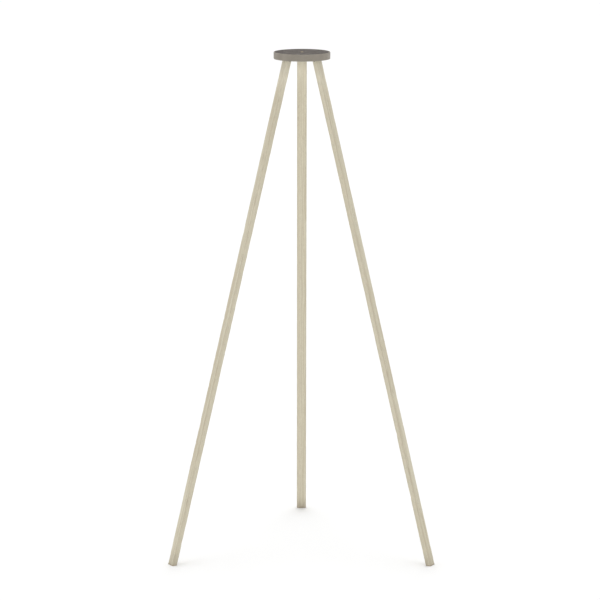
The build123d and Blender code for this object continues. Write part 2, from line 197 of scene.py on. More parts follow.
def placed(piece, x, y, z, origin):
    """Moves a piece's mesh so that its axes become x, y and z, and its origin becomes a point."""
    turn = Matrix((x, y, z)).transposed().to_4x4()
    piece.data.transform(Matrix.Translation(origin) @ turn)
    return piece


def smooth(piece, sharp_angle):
    """Closes up the slivers that cuts left in a piece, and shades it smooth again.

    It comes after a piece's last cut, because a cut in a cleaned mesh can lose part of it.
    """
    clean = bmesh.new()
    clean.from_mesh(piece.data)
    bmesh.ops.dissolve_degenerate(clean, edges=clean.edges, dist=SLIVER)
    clean.to_mesh(piece.data)
    clean.free()
    piece.data.shade_smooth()
    piece.data.set_sharp_from_angle(angle=radians(sharp_angle))


def cut(piece, *cutters, operation="DIFFERENCE"):
    """Cuts other objects out of a piece, or joins them to it, and removes them."""
    for cutter in cutters:
        modifier = piece.modifiers.new("cut", "BOOLEAN")
        modifier.operation = operation
        modifier.object = cutter
        modifier.solver = "EXACT"
    bpy.context.view_layer.update()
    evaluated = piece.evaluated_get(bpy.context.evaluated_depsgraph_get())
    mesh = bpy.data.meshes.new_from_object(evaluated)
    piece.modifiers.clear()
    piece.data = mesh
    for cutter in cutters:
        bpy.data.objects.remove(cutter)


def drill(radius, start, end, segments=64):
    """A plain round cutter between two points."""
    length = (end - start).length
    outline = [(0, 0), (radius, 0), (radius, length), (0, length)]
    cutter = lathe("cutter", outline, segments)
    turn = (end - start).to_track_quat("Z", "Y").to_matrix().to_4x4()
    cutter.data.transform(Matrix.Translation(start) @ turn)
    return cutter


def finer(outline, step):
    """A closed outline with points added along whatever is longer than a step."""
    fine = []
    for here, after in zip(outline, outline[1:] + outline[:1]):
        count = max(1, ceil((after - here).length / step))
        fine += [here.lerp(after, k / count) for k in range(count)]
    return fine


def wander(*place):
    """Smooth noise from -1 to 1 at a place, the same in every run."""
    return noise.noise(Vector(place))


# ---- Materials ----


class Surface:
    """A material under construction: each call adds a node, and inputs are numbers, colours or sockets."""

    def __init__(self, name):
        self.material = bpy.data.materials.new(name)
        self.material.use_nodes = True
        self.tree = self.material.node_tree
        self.shader = self.tree.nodes["Principled BSDF"]

    def put(self, socket, value):
        """Sets a socket, or links it where the value is another node's output."""
        if isinstance(value, bpy.types.NodeSocket):
            self.tree.links.new(value, socket)
        elif socket.type == "RGBA" and len(value) == 3:
            socket.default_value = (*value, 1)
        else:
            socket.default_value = value

    def node(self, kind, inputs=(), **settings):
        """Adds a node. inputs maps a socket's name or number to its value."""
        made = self.tree.nodes.new("ShaderNode" + kind)
        for key, value in settings.items():
            setattr(made, key, value)
        for key, value in dict(inputs).items():
            self.put(made.inputs[key], value)
        return made

    def set(self, **inputs):
        """Sets the shader's own inputs, with _ for a space in their names."""
        for key, value in inputs.items():
            self.put(self.shader.inputs[key.replace("_", " ")], value)

    def stored(self, name, kind="Fac"):
        """A number or vector that paint() stored."""
        return self.node("Attribute", attribute_name=name).outputs[kind]

    def position(self):
        """The place on the object, in the row frame at rest."""
        return self.node("TexCoord").outputs["Object"]

    def vector(self, operation, a, b=(0, 0, 0)):
        """Any sum on two vectors."""
        made = self.node("VectorMath", {0: a, 1: b}, operation=operation)
        return made.outputs["Value" if operation == "LENGTH" else "Vector"]

    def part(self, vector, index):
        """One of a vector's or a colour's three numbers."""
        return self.node("SeparateXYZ", {0: vector}).outputs[index]

    # A vector with each of its parts multiplied by its own number
    stretched = partialmethod(vector, "MULTIPLY")

    def noise(self, vector, scale, detail, roughness):
        """Smooth noise from about 0 to 1. A scale of three numbers stretches it."""
        if isinstance(scale, tuple):
            vector, scale = self.stretched(vector, scale), 1.0
        inputs = {"Vector": vector, "Scale": scale, "Detail": detail, "Roughness": roughness}
        return self.node("TexNoise", inputs).outputs["Fac"]

    def swirl(self, vector, scale):
        """Smooth noise of three parts, each from about 0 to 1, for bending a place with."""
        return self.node("TexNoise", {"Vector": vector, "Scale": scale, "Detail": 2.0}).outputs["Color"]

    def cells(self, vector, scale, feature="F1", output="Distance"):
        """Voronoi cells."""
        inputs = {"Vector": vector, "Scale": scale}
        return self.node("TexVoronoi", inputs, feature=feature).outputs[output]

    def maths(self, operation, a, b=0.0, clamp=False):
        """Any sum on two numbers."""
        return self.node("Math", {0: a, 1: b}, operation=operation, use_clamp=clamp).outputs[0]

    times = partialmethod(maths, "MULTIPLY")
    plus = partialmethod(maths, "ADD")
    minus = partialmethod(maths, "SUBTRACT")

    def spread(self, value, low, high, to_low=0.0, to_high=1.0):
        """A number moved from one range to another, smoothly, and held at its ends."""
        inputs = {"Value": value, "From Min": low, "From Max": high, "To Min": to_low, "To Max": to_high}
        return self.node("MapRange", inputs, interpolation_type="SMOOTHSTEP").outputs["Result"]

    def blend(self, share, a, b):
        """Two colours mixed: a at share 0, and b at share 1."""
        made = self.node("Mix", data_type="RGBA")
        # A Mix node has a set of sockets for each data type, and these are the colour ones
        for number, value in ((0, share), (6, a), (7, b)):
            self.put(made.inputs[number], value)
        return made.outputs[2]

    def finished(self, colour, rough, height, depth, **inputs):
        """The material, with a bump whose height of 1 stands depth metres proud."""
        relief = self.node("Bump", {"Height": height, "Distance": depth, "Strength": 1.0}).outputs["Normal"]
        self.set(Base_Color=colour, Roughness=rough, Normal=relief, **inputs)
        return self.material


# The range that most of a noise's values lie in
MIDDLE = (0.3, 0.7)


def wood():
    """Pale, waxed ash. The grain attribute holds the place within the stick: across, across and along."""
    pale, deep, late_tint = (0.738, 0.703, 0.556), (0.645, 0.608, 0.47), (0.5, 0.425, 0.295)
    thread_tint, fibre_tint, pore_tint = (0.46, 0.395, 0.28), (0.44, 0.375, 0.265), (0.25, 0.185, 0.115)
    fleck_tint, cloud_tint, edge_grime_and_shade_tint = (0.76, 0.71, 0.58), (0.56, 0.5, 0.385), (0.4, 0.34, 0.235)
    # sheltered is the tint of the painted light at the leg's head
    scuff_tint, sheltered = (0.42, 0.36, 0.26), (0.84, 0.79, 0.64)
    soiled, dent_tint = (0.3, 0.255, 0.19), (0.36, 0.29, 0.2)
    ring_width, sway, to_pith = 2.3 * MM, (0.009, 0.009, 0), (0.031, 0.012, 0)
    painted_light_full, painted_light_end, soil_start, soil_full = 0.03, 0.13, 1.385, 1.435
    s = Surface("pale_ash")
    grain = s.stored("grain", "Vector")
    wear, arris = s.stored("wear"), s.stored("arris")
    along = s.part(grain, 2)
    # Growth rings: distance from a pith well outside the stick, wavering along its length
    waver = s.vector("SUBTRACT", s.swirl(s.stretched(grain, (30, 30, 3.2)), 1.0), (0.5, 0.5, 0.5))
    bent = s.vector("ADD", s.stretched(waver, sway), grain)
    distance = s.vector("LENGTH", s.vector("ADD", s.stretched(bent, (1, 1, 0)), to_pith))
    ragged = s.noise(grain, (900, 900, 30), 3.0, 0.6)
    rings = s.maths("FRACT", s.plus(s.times(distance, 1 / ring_width), s.times(ragged, 0.22)))
    early = s.spread(rings, 0.02, 0.4, 1.0, 0.0)
    late = s.times(s.spread(rings, 0.4, 0.94), s.spread(rings, 0.955, 1.0, 1.0, 0.0))
    # Fibres, pores in the early wood, and broad streaks that show from a distance
    fibre = s.noise(grain, (3600, 3600, 48), 5.0, 0.72)
    threads = s.noise(grain, (1300, 1300, 16), 3.0, 0.6)
    pores = s.noise(grain, (2500, 2500, 150), 2.0, 0.5)
    pores = s.times(s.spread(pores, 0.57, 0.64), s.maths("ADD", 0.12, early, clamp=True))
    streaks = s.noise(grain, (130, 130, 2.2), 4.0, 0.6)
    clouds = s.noise(grain, (25, 25, 5.5), 3.0, 0.6)
    fleck = s.spread(s.noise(grain, (520, 110, 60), 1.0, 0.4), 0.64, 0.72)
    colour = s.blend(s.spread(streaks, *MIDDLE), pale, deep)
    colour = s.blend(s.times(late, 0.6), colour, late_tint)
    colour = s.blend(s.spread(threads, 0.35, 0.68, 0.0, 0.28), colour, thread_tint)
    colour = s.blend(s.spread(fibre, 0.36, 0.64, 0.0, 0.36), colour, fibre_tint)
    colour = s.blend(s.times(pores, 0.62), colour, pore_tint)
    colour = s.blend(s.times(fleck, 0.2), colour, fleck_tint)
    colour = s.blend(s.spread(clouds, 0.35, 0.7, 0.0, 0.22), colour, cloud_tint)
    # Handling and painted light: edges darkened partly by grime and partly by painted shade, scuffs, painted light
    # that makes the head paler against the crown's shadow, soil at the foot, dark dents
    scuffs = s.spread(s.noise(bent, (70, 70, 1700), 2.0, 0.5), 0.665, 0.7)
    scuffs = s.times(scuffs, s.spread(clouds, 0.5, 0.62))
    grime_and_painted_light_noise = s.noise(grain, (90, 90, 22), 5.0, 0.65)
    # Painted light: the leg is made paler towards its head, to offset the shadow that the crown casts there
    head = s.spread(along, painted_light_full, painted_light_end, 0.5, 0.0)
    head = s.times(head, s.spread(grime_and_painted_light_noise, 0.3, 0.6, 1.0, 0.5))
    foot = s.spread(along, soil_start, soil_full, 0.0, 0.5)
    foot = s.times(foot, s.spread(grime_and_painted_light_noise, 0.3, 0.6, 0.35, 1.0))
    dents = s.times(wear, s.spread(grime_and_painted_light_noise, 0.3, 0.6, 0.1, 0.4))
    # Painted shade, partly real handling grime: the rounded edges are darkened, against the side lamps that light
    # them brightly
    edge_grime_and_shade = s.times(arris, s.spread(grime_and_painted_light_noise, 0.3, 0.65, 0.12, 0.42))
    colour = s.blend(edge_grime_and_shade, colour, edge_grime_and_shade_tint)
    colour = s.blend(s.times(scuffs, 0.35), colour, scuff_tint)
    # The painted light at the head
    colour = s.blend(head, colour, sheltered)
    colour = s.blend(foot, colour, soiled)
    colour = s.blend(dents, colour, dent_tint)
    rough = s.plus(s.spread(streaks, *MIDDLE, 0.42, 0.54), s.times(fibre, 0.12))
    rough = s.plus(rough, s.times(scuffs, 0.12))
    height = s.plus(s.times(late, 0.4), s.times(fibre, 0.5))
    height = s.minus(height, s.times(pores, 0.9))
    height = s.minus(height, s.times(scuffs, 0.5))
    return s.finished(colour, rough, height, 0.14 * MM)


def enamel():
    """Taupe stoved paint over cast metal, thin and chipped where the edge attribute is high."""
    taupe, shade, speck_tint = (0.278, 0.25, 0.206), (0.249, 0.223, 0.185), (0.36, 0.33, 0.28)
    scuff_tint, thin_tint, bare_metal = (0.36, 0.335, 0.29), (0.33, 0.3, 0.25), (0.13, 0.118, 0.102)
    s = Surface("taupe_enamel")
    place = s.position()
    edge = s.stored("edge")
    cloud = s.noise(place, 45, 4, 0.6)
    speck = s.noise(place, 900, 2, 0.5)
    scuffs = s.noise(place, (55, 55, 800), 3, 0.6)
    colour = s.blend(s.spread(cloud, *MIDDLE), taupe, shade)
    colour = s.blend(s.spread(speck, 0.5, 0.75, 0.0, 0.14), colour, speck_tint)
    colour = s.blend(s.spread(scuffs, 0.6, 0.74, 0.0, 0.2), colour, scuff_tint)
    # Chips are rare on the flat and common on the rims; round each the paint is rubbed thin
    ragged = s.noise(place, 420, 4, 0.65)
    patches = s.noise(place, 75, 3, 0.55)
    worn = s.plus(s.times(edge, 0.3), s.times(patches, 0.6))
    worn = s.plus(worn, s.times(ragged, 0.35))
    thin = s.spread(worn, 0.68, 0.84, 0.0, 0.6)
    bare = s.spread(worn, 0.855, 0.87)
    colour = s.blend(thin, colour, thin_tint)
    colour = s.blend(bare, colour, bare_metal)
    peel = s.noise(place, 620, 2, 0.45)
    height = s.minus(peel, s.times(bare, 2.4))
    rough = s.plus(s.spread(cloud, *MIDDLE, 0.38, 0.5), s.times(bare, 0.15))
    return s.finished(colour, rough, height, 0.06 * MM, Specular_IOR_Level=0.3)


def cast_inside():
    """The crown's underside: the same paint, thin over a rough casting, with dust in patches."""
    thin_paint, shade = (0.225, 0.207, 0.172), (0.178, 0.163, 0.136)
    dust, metal = (0.36, 0.33, 0.28), (0.15, 0.14, 0.13)
    s = Surface("enamel_over_casting")
    place = s.position()
    edge = s.stored("edge")
    cloud = s.noise(place, 60, 5, 0.62)
    grit = s.noise(place, 1100, 3, 0.6)
    colour = s.blend(s.spread(cloud, 0.35, 0.68), thin_paint, shade)
    dusty = s.times(s.spread(s.noise(place, 28, 5, 0.65), 0.45, 0.7), 0.4)
    colour = s.blend(dusty, colour, dust)
    colour = s.blend(s.times(edge, s.spread(grit, 0.5, 0.6, 0.0, 0.6)), colour, metal)
    pits = s.spread(s.cells(place, 420), 0.0, 0.35)
    height = s.plus(s.times(grit, 0.7), s.times(pits, 0.5))
    rough = s.spread(cloud, *MIDDLE, 0.55, 0.7)
    return s.finished(colour, rough, height, 0.12 * MM)


def leather():
    """Dark, pebbled hide, rubbed smoother and paler where cameras have stood on it."""
    hide, shade, pebble_tint = (0.159, 0.141, 0.127), (0.131, 0.116, 0.104), (0.105, 0.092, 0.081)
    rubbed_tint, crease_shade = (0.19, 0.165, 0.142), (0.055, 0.048, 0.043)
    pebbles, warping = 780, (0.0022, 0.0022, 0.0022)
    s = Surface("dark_leather")
    place = s.position()
    rubbed = s.stored("wear")
    bent = s.vector("ADD", s.stretched(s.swirl(place, 240.0), warping), place)
    pebble = s.spread(s.cells(bent, pebbles, "DISTANCE_TO_EDGE"), 0.0, 0.3)
    tone = s.part(s.cells(bent, pebbles, "F1", "Color"), 0)
    fine = s.noise(place, 2400, 3, 0.6)
    cloud = s.noise(place, 38, 4, 0.6)
    folds = s.spread(s.noise(bent, (70, 150, 70), 5, 0.7), 0.46, 0.54)
    colour = s.blend(s.spread(cloud, *MIDDLE), hide, shade)
    colour = s.blend(s.times(tone, 0.3), colour, pebble_tint)
    polish = s.times(rubbed, s.spread(fine, 0.4, 0.65, 0.2, 0.55))
    colour = s.blend(polish, colour, rubbed_tint)
    # Painted shade in the creases between the pebbles
    colour = s.blend(s.spread(pebble, 0.0, 1.0, 0.5, 0.0), colour, crease_shade)
    height = s.plus(pebble, s.times(fine, 0.25))
    height = s.plus(height, s.times(folds, 0.3))
    rough = s.minus(s.spread(cloud, *MIDDLE, 0.76, 0.86), s.times(rubbed, 0.18))
    return s.finished(colour, rough, height, 0.16 * MM, Specular_IOR_Level=0.12)


def brass():
    """Turned brass, bright in places and dulled brown in others, with fine turning marks."""
    bright, dull = (0.66, 0.47, 0.205), (0.43, 0.295, 0.13)
    stained, mark_tint = (0.25, 0.165, 0.08), (0.36, 0.25, 0.11)
    marks_scale = 5200
    s = Surface("dulled_brass")
    place = s.position()
    cloud = s.noise(place, 150, 5, 0.65)
    radius = s.vector("LENGTH", s.stretched(place, (1, 1, 0)))
    across, up = s.times(radius, marks_scale), s.times(s.part(place, 2), marks_scale)
    marks = s.noise(s.node("CombineXYZ", {0: across, 1: up}).outputs[0], 1.0, 2, 0.5)
    tarnish = s.spread(cloud, 0.42, 0.68)
    stain = s.spread(s.noise(place, 520, 4, 0.6), 0.56, 0.72, 0.0, 0.4)
    colour = s.blend(tarnish, bright, dull)
    colour = s.blend(stain, colour, stained)
    colour = s.blend(s.spread(marks, 0.35, 0.65, 0.0, 0.18), colour, mark_tint)
    rough = s.plus(s.spread(tarnish, 0, 1, 0.27, 0.46), s.times(marks, 0.1))
    return s.finished(colour, rough, marks, 0.02 * MM, Metallic=1.0)


def zinc_steel():
    """Zinc-plated steel, clouded where it has been damp, with rust starting in specks."""
    zinc, bloom_tint, rust = (0.52, 0.53, 0.545), (0.40, 0.405, 0.41), (0.21, 0.105, 0.05)
    s = Surface("zinc_plated_steel")
    place = s.position()
    cloud = s.noise(place, 130, 5, 0.66)
    speck = s.spread(s.noise(place, 620, 4, 0.6), 0.64, 0.72)
    draw = s.noise(place, (400, 400, 3000), 3, 0.6)
    bloom = s.spread(cloud, 0.45, 0.7)
    colour = s.blend(bloom, zinc, bloom_tint)
    colour = s.blend(s.times(speck, 0.65), colour, rust)
    metal = s.minus(1.0, s.times(speck, 0.8))
    rough = s.plus(s.spread(bloom, 0, 1, 0.3, 0.52), s.times(draw, 0.07))
    return s.finished(colour, rough, draw, 0.015 * MM, Metallic=metal)


def buff_rubber():
    """Crepe rubber soles, close to the wood's colour, with trodden dirt."""
    buff, shade, dirt_tint = (0.49, 0.425, 0.31), (0.40, 0.342, 0.245), (0.2, 0.165, 0.12)
    s = Surface("buff_crepe_rubber")
    place = s.position()
    crepe = s.noise(place, 1300, 4, 0.7)
    lumps = s.cells(place, 760)
    dirt = s.spread(s.noise(place, 170, 5, 0.65), 0.42, 0.66)
    colour = s.blend(s.spread(lumps, 0.1, 0.6), buff, shade)
    colour = s.blend(s.times(dirt, 0.45), colour, dirt_tint)
    height = s.plus(crepe, s.times(lumps, 0.6))
    rough = s.spread(crepe, *MIDDLE, 0.72, 0.86)
    return s.finished(colour, rough, height, 0.1 * MM)


def studio_white():
    """The floor's matt paper."""
    low, high = (0.945, 0.945, 0.945), (0.965, 0.965, 0.965)
    s = Surface("studio_paper")
    tooth = s.spread(s.noise(s.position(), 700, 3, 0.5), *MIDDLE)
    s.set(Base_Color=s.blend(tooth, low, high), Roughness=0.9, Specular_IOR_Level=0.2)
    return s.material


# The slots of the CAD nodes, and two materials that no slot names
MATERIALS = {"wood": wood(), "enamel": enamel(), "leather": leather()}
MATERIALS |= {"brass": brass(), "steel": zinc_steel(), "rubber": buff_rubber()}
MATERIALS |= {"casting": cast_inside(), "paper": studio_white()}
SLOT_OF = {part["node"]: part["material_slot"] for part in frame["record"]["subparts"]}


def dress(piece, *names):
    """Gives a piece its materials, in slot order."""
    piece.data.materials.clear()
    for name in names:
        piece.data.materials.append(MATERIALS[name])


# ---- Legs ----


class LegFrame:
    """A leg's own directions: out of its broad outer face, across it, and down along it from the pin."""

    def __init__(self, leg):
        joint = JOINTS[leg + "_leg_fold"]
        self.pin = Vector(joint["pos_m"])
        self.across = Vector(joint["axis"])
        outward = self.across.cross(UP)
        reach = FOOT_CIRCLE - self.pin.xy.length
        splay = atan2(reach, self.pin.z - FLOOR)
        self.sin, self.cos = sin(splay), cos(splay)
        self.out = outward * self.cos + UP * self.sin
        self.down = outward * self.sin - UP * self.cos
        self.axes = np.array([self.out, self.across, self.down])

    def to_row(self, local):
        """Row-frame points from (out, across, down) ones."""
        return np.asarray(local) @ self.axes + np.array(self.pin)

    def to_leg(self, points):
        """(out, across, down) points from row-frame ones."""
        return (np.asarray(points) - np.array(self.pin)) @ self.axes.T

    def level(self, out, height):
        """How far down the leg a level cut at a height comes, at some distance out."""
        return (self.pin.z - height + out * self.sin) / self.cos

    def tip(self, out):
        """How far down the leg its wood ends, on top of the sole."""
        return self.level(out, FLOOR + FOOT_PAD)

    def tread(self, out):
        """How far down the leg the floor is."""
        return self.level(out, FLOOR)

    def foot(self):
        """Where the leg's middle line meets the floor."""
        return self.pin + self.down * self.tread(0)

    def head(self, out):
        """How far down the leg its top end comes: round the pin, then a slope, then a land that stops it."""
        half = LEG_THICKNESS / 2
        knuckle_end = half * self.sin
        land = half + STOP_RISE
        land_start = STOP_START * self.cos + land * self.sin
        if out <= knuckle_end:
            return -sqrt(max(half * half - out * out, 0.0))
        if out >= land_start:
            return self.level(out, self.pin.z + land)
        share = (out - knuckle_end) / (land_start - knuckle_end)
        return (1 - share) * -half * self.cos + share * self.level(land_start, self.pin.z + land)


class Section:
    """A leg's rounded section as a grid, so that its ends can be closed: rows step outwards, columns across.

    A row is (out, half its width, and the two parts of the direction out of the section at its end).
    """

    COLUMNS = 10
    EDGE_GAIN = 2.2

    def __init__(self, half_out, half_across, radius):
        corner_steps, side_steps = 6, 4
        rows = []
        for step in range(corner_steps + 1):
            turn = pi / 2 * step / corner_steps
            rows.append((radius - half_out - radius * cos(turn), sin(turn), -cos(turn)))
        flat = half_out - radius
        rows += [(-flat + 2 * flat * step / side_steps, 1.0, 0.0) for step in range(1, side_steps)]
        rows += [(-out, rise, -lean) for out, rise, lean in reversed(rows[: corner_steps + 1])]
        self.rows = [(out, half_across - radius + radius * rise, lean, rise) for out, rise, lean in rows]
        self.last = len(self.rows) - 1
        self.ring = [(row, 0) for row in range(self.last + 1)]
        self.ring += [(self.last, column) for column in range(1, self.COLUMNS)]
        self.ring += [(row, self.COLUMNS) for row in range(self.last, -1, -1)]
        self.ring += [(0, column) for column in range(self.COLUMNS - 1, 0, -1)]

    def place(self, row, column):
        """(out, across) of a grid point."""
        out, across, _, _ = self.rows[row]
        return out, across * (1 - 2 * column / self.COLUMNS)

    def normal(self, row, column):
        """(out, across) direction out of the section at a ring point."""
        _, _, lean, rise = self.rows[row]
        if column in (0, self.COLUMNS):
            return lean, rise if column == 0 else -rise
        return (1.0, 0.0) if row else (-1.0, 0.0)

    def edge(self, row, column):
        """1 on the rounded edges, and 0 on the flats."""
        lean, rise = self.normal(row, column)
        return min(1.0, self.EDGE_GAIN * abs(lean * rise))


SECTION = Section(LEG_THICKNESS / 2, LEG_WIDTH / 2, LEG_EDGE)


def stick(name, leg, top, bottom, levels, sink):
    """A solid with a leg's SECTION. Each of its ends is a distance down for a distance out.

    sink(ring_index, out, across, down) gives how far below its plain surface a point lies.
    """
    local, sunk = [], []
    for level in range(levels + 1):
        for index, point in enumerate(SECTION.ring):
            out, across = SECTION.place(*point)
            down = top(out) + (bottom(out) - top(out)) * level / levels
            depth = sink(index, out, across, down)
            lean, rise = SECTION.normal(*point)
            slope = lean * leg.sin / leg.cos
            local.append((out - lean * depth, across - rise * depth, down - slope * depth))
            sunk.append(depth)
    count = len(SECTION.ring)
    faces = sleeve(count, levels)
    for end, start in ((top, 0), (bottom, levels * count)):
        grid = {point: start + i for i, point in enumerate(SECTION.ring)}
        for row in range(1, SECTION.last):
            for column in range(1, SECTION.COLUMNS):
                left, right = Vector(local[grid[row, 0]]), Vector(local[grid[row, SECTION.COLUMNS]])
                spot = left.lerp(right, column / SECTION.COLUMNS)
                grid[row, column] = len(local)
                local.append((spot.x, spot.y, end(spot.x)))
                sunk.append(0.0)
        for row in range(SECTION.last):
            for column in range(SECTION.COLUMNS):
                corners = (row, column), (row, column + 1), (row + 1, column + 1), (row + 1, column)
                faces.append(tuple(grid[corner] for corner in corners))
    return new_object(name, leg.to_row(local), faces), np.array(sunk)


def leg_wear(seed, length):
    """How deep age has worn one leg at a point: planed hollows, rubbed edges, dents, and a battered foot."""
    planed_mm, rubbed_mm, battered_mm = 0.1, 0.7, 0.9
    sheltered, fade_in, battered = 0.03, 0.03, 0.035
    dent_count, dents_on_edges, dent_reach = 60, 0.6, 2.5
    chance = random.Random(seed)
    edges = [SECTION.edge(*point) for point in SECTION.ring]
    dents = []
    for _ in range(dent_count):
        down = chance.uniform(0.08, length - 0.01)
        on_edge = chance.random() < dents_on_edges
        index = chance.choice([i for i, edge in enumerate(edges) if (edge > 0.8) == on_edge])
        out, across = SECTION.place(*SECTION.ring[index])
        size = chance.uniform(1.6, 5.0) * MM
        depth = size * chance.uniform(0.1, 0.22)
        dents.append((out, across, down, size, size * chance.uniform(1.0, 3.2), depth))

    def sink(index, out, across, down):
        if down < sheltered:
            return 0.0
        fade = min(1.0, (down - sheltered) / fade_in)
        planed = planed_mm * MM * (0.5 + 0.5 * wander(out * 40 + seed, across * 40, down * 17))
        hollow = max(0.0, 0.05 + wander(out * 90, across * 90 + seed, down * 26))
        rubbed = edges[index] * rubbed_mm * MM * hollow
        depth = planed + rubbed
        for x, y, z, wide, long, deep in dents:
            if abs(down - z) < dent_reach * long:
                far = ((out - x) ** 2 + (across - y) ** 2) / wide**2 + ((down - z) / long) ** 2
                depth += deep * exp(-far)
        foot = max(0.0, 1 - (length - down) / battered)
        chipped = max(0.0, 0.2 + wander(out * 150, across * 150, down * 120 + seed))
        depth += edges[index] * foot * battered_mm * MM * chipped
        return depth * fade

    return sink


def leg_piece(name, number):
    """One leg with its bush hole and screw hole, grain running down it, and wear of its own."""
    ring_spacing, screw_radius, screw_depth_mm, past_mm = 2 * MM, 1.8 * MM, 26, 5
    shallow, dent_range = 0.35 * MM, 0.7 * MM
    leg = LegFrame(name)
    length = leg.tip(0)
    levels = round(length / ring_spacing)
    piece, sunk = stick(name + "_leg_ash", leg, leg.head, leg.tip, levels, leg_wear(11 * number + 3, length))
    before = kdtree.KDTree(len(sunk))
    for i, point in enumerate(points_of(piece)):
        before.insert(point, i)
    before.balance()
    across = leg.across * LEG_WIDTH
    foot = leg.foot()
    cut(
        piece,
        drill(BUSH_RADIUS, leg.pin - across, leg.pin + across),
        drill(screw_radius, foot + leg.down * past_mm * MM, foot - leg.down * screw_depth_mm * MM, 24),
    )
    smooth(piece, 32)
    points = points_of(piece)
    depths = np.array([sunk[before.find(point)[1]] for point in points])
    local = leg.to_leg(points)
    own_grain = np.array([0.004 * number, -0.007 * number, 0.0])
    paint(piece, "grain", local + own_grain)
    paint(piece, "wear", np.clip((depths - shallow) / dent_range, 0, 1))
    flats = np.array([LEG_THICKNESS, LEG_WIDTH]) / 2 - LEG_EDGE
    past_flats = np.min(np.abs(local[:, :2]) - flats, axis=1)
    paint(piece, "arris", np.clip(past_flats / MM, 0, 1))
    dress(piece, "wood")
    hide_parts(name + "_leg")
    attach(piece, name + "_leg")


def foot_piece(name):
    """A crepe sole with a softened lower edge, grooves across its tread, and a well for its screw's head."""
    soft, bulge, levels = 0.7 * MM, 0.12 * MM, 14
    well, head, shank = 3.9 * MM, 3.53 * MM, 1.78 * MM
    below, well_depth, above = -5 * MM, 2 * MM, 8 * MM
    groove_radius, groove_height, groove_half = 0.6 * MM, -0.07 * MM, 12 * MM
    grooves = (-10.2, -7.6, 7.6, 10.2)
    leg = LegFrame(name)

    def sink(index, out, across, down):
        height = leg.tread(out) - down
        lip = max(0.0, 1 - height / soft)
        waist = bulge * abs(2 * height / FOOT_PAD - 1)
        return soft * (1 - sqrt(max(0.0, 1 - lip * lip))) + waist

    piece, _ = stick(name + "_foot_crepe", leg, leg.tip, leg.tread, levels, sink)
    foot = leg.foot()
    outline = [(0, below), (well, below), (well, well_depth), (head, well_depth)]
    outline += [(shank, well_depth + head - shank), (shank, above), (0, above)]
    # Turned a little, so that no corner of the cutter lies exactly on an edge of the sole's mesh
    turned = (leg.out + leg.across * 0.03).normalized()
    cutters = [placed(lathe("well", outline, 48), turned, turned.cross(leg.down), -leg.down, foot)]
    reach = leg.across.cross(UP) * groove_half
    for offset in grooves:
        side = Vector((foot.x, foot.y, FLOOR + groove_height)) + leg.across * offset * MM
        cutters.append(drill(groove_radius, side - reach, side + reach, 16))
    cut(piece, *cutters)
    smooth(piece, 35)
    dress(piece, "rubber")
    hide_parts(name + "_foot_pad")
    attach(piece, name + "_leg")


# ---- Crown ----


def crown_piece():
    """The enamelled casting: fine round edges, a seat for the leather, and three ribs underneath."""
    outer_edge, skirt_edge, seat_edge = 1.2 * MM, 0.8 * MM, 0.25 * MM
    hole_edge, hole_edge_below, inside_corner = 0.3 * MM, 0.4 * MM, 3 * MM
    unevenness, mesh_step, segments = 0.1 * MM, 1.2 * MM, 240
    seat, inner = CROWN_RADIUS - RIM_WIDTH, CROWN_RADIUS - SKIRT_THICKNESS
    corners = [
        (SCREW_HOLE, -LEATHER_THICKNESS, hole_edge),
        (seat, -LEATHER_THICKNESS, 0),
        (seat, CROWN_TOP, seat_edge),
        (CROWN_RADIUS, CROWN_TOP, outer_edge),
        (CROWN_RADIUS, CROWN_BOTTOM, outer_edge),
        (inner, CROWN_BOTTOM, skirt_edge),
        (inner, WEB_UNDERSIDE, inside_corner),
        (SCREW_HOLE, WEB_UNDERSIDE, hole_edge_below),
    ]

    def worn(radius, height, angle):
        if radius < inner:
            return radius, height
        x, y = cos(angle), sin(angle)
        low = max(0.0, wander(9 * x, 9 * y, height * 60))
        return radius - unevenness * low, height

    piece = lathe("crown_enamelled", finer(rounded_outline(corners, 8), mesh_step), segments, worn)
    rib_start, rib_end, rib_edge = 27 * MM, inner + MM, 0.4 * MM
    half_root, half_tip, deep, root, tip_edge = 2 * MM, 1.6 * MM, 3.5 * MM, 0.5 * MM, 0.8 * MM
    section = [(half_root, root, 0), (-half_root, root, 0)]
    section += [(-half_tip, -deep, tip_edge), (half_tip, -deep, tip_edge)]
    for azimuth in RIB_AZIMUTHS:
        along = Vector((cos(radians(azimuth)), sin(radians(azimuth)), 0))
        rib = prism("rib", rounded_outline(section), rib_start, rib_end, rib_edge)
        placed(rib, UP.cross(along), UP, along, (0, 0, WEB_UNDERSIDE))
        cut(piece, rib, operation="UNION")
    smooth(piece, 40)
    # The edge attribute: how near a rim each point of the outside is, and a little everywhere else
    edge_width, least, elsewhere = 3.5 * MM, 0.15, 0.1
    points = points_of(piece)
    radii, heights = np.hypot(points[:, 0], points[:, 1]), points[:, 2]
    from_edge = np.minimum(CROWN_TOP - heights, heights - CROWN_BOTTOM)
    near_edge = np.clip(1 - from_edge / edge_width, 0, 1)
    outside = radii > seat - 0.5 * MM
    paint(piece, "edge", np.where(outside, least + (1 - least) * near_edge, elsewhere))
    dress(piece, "enamel", "casting")
    for face in piece.data.polygons:
        centre = face.center
        under = centre.xy.length < inner + 0.2 * MM and centre.z < -LEATHER_THICKNESS - 0.1 * MM
        face.material_index = int(under)
    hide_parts("crown")
    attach(piece, "crown")


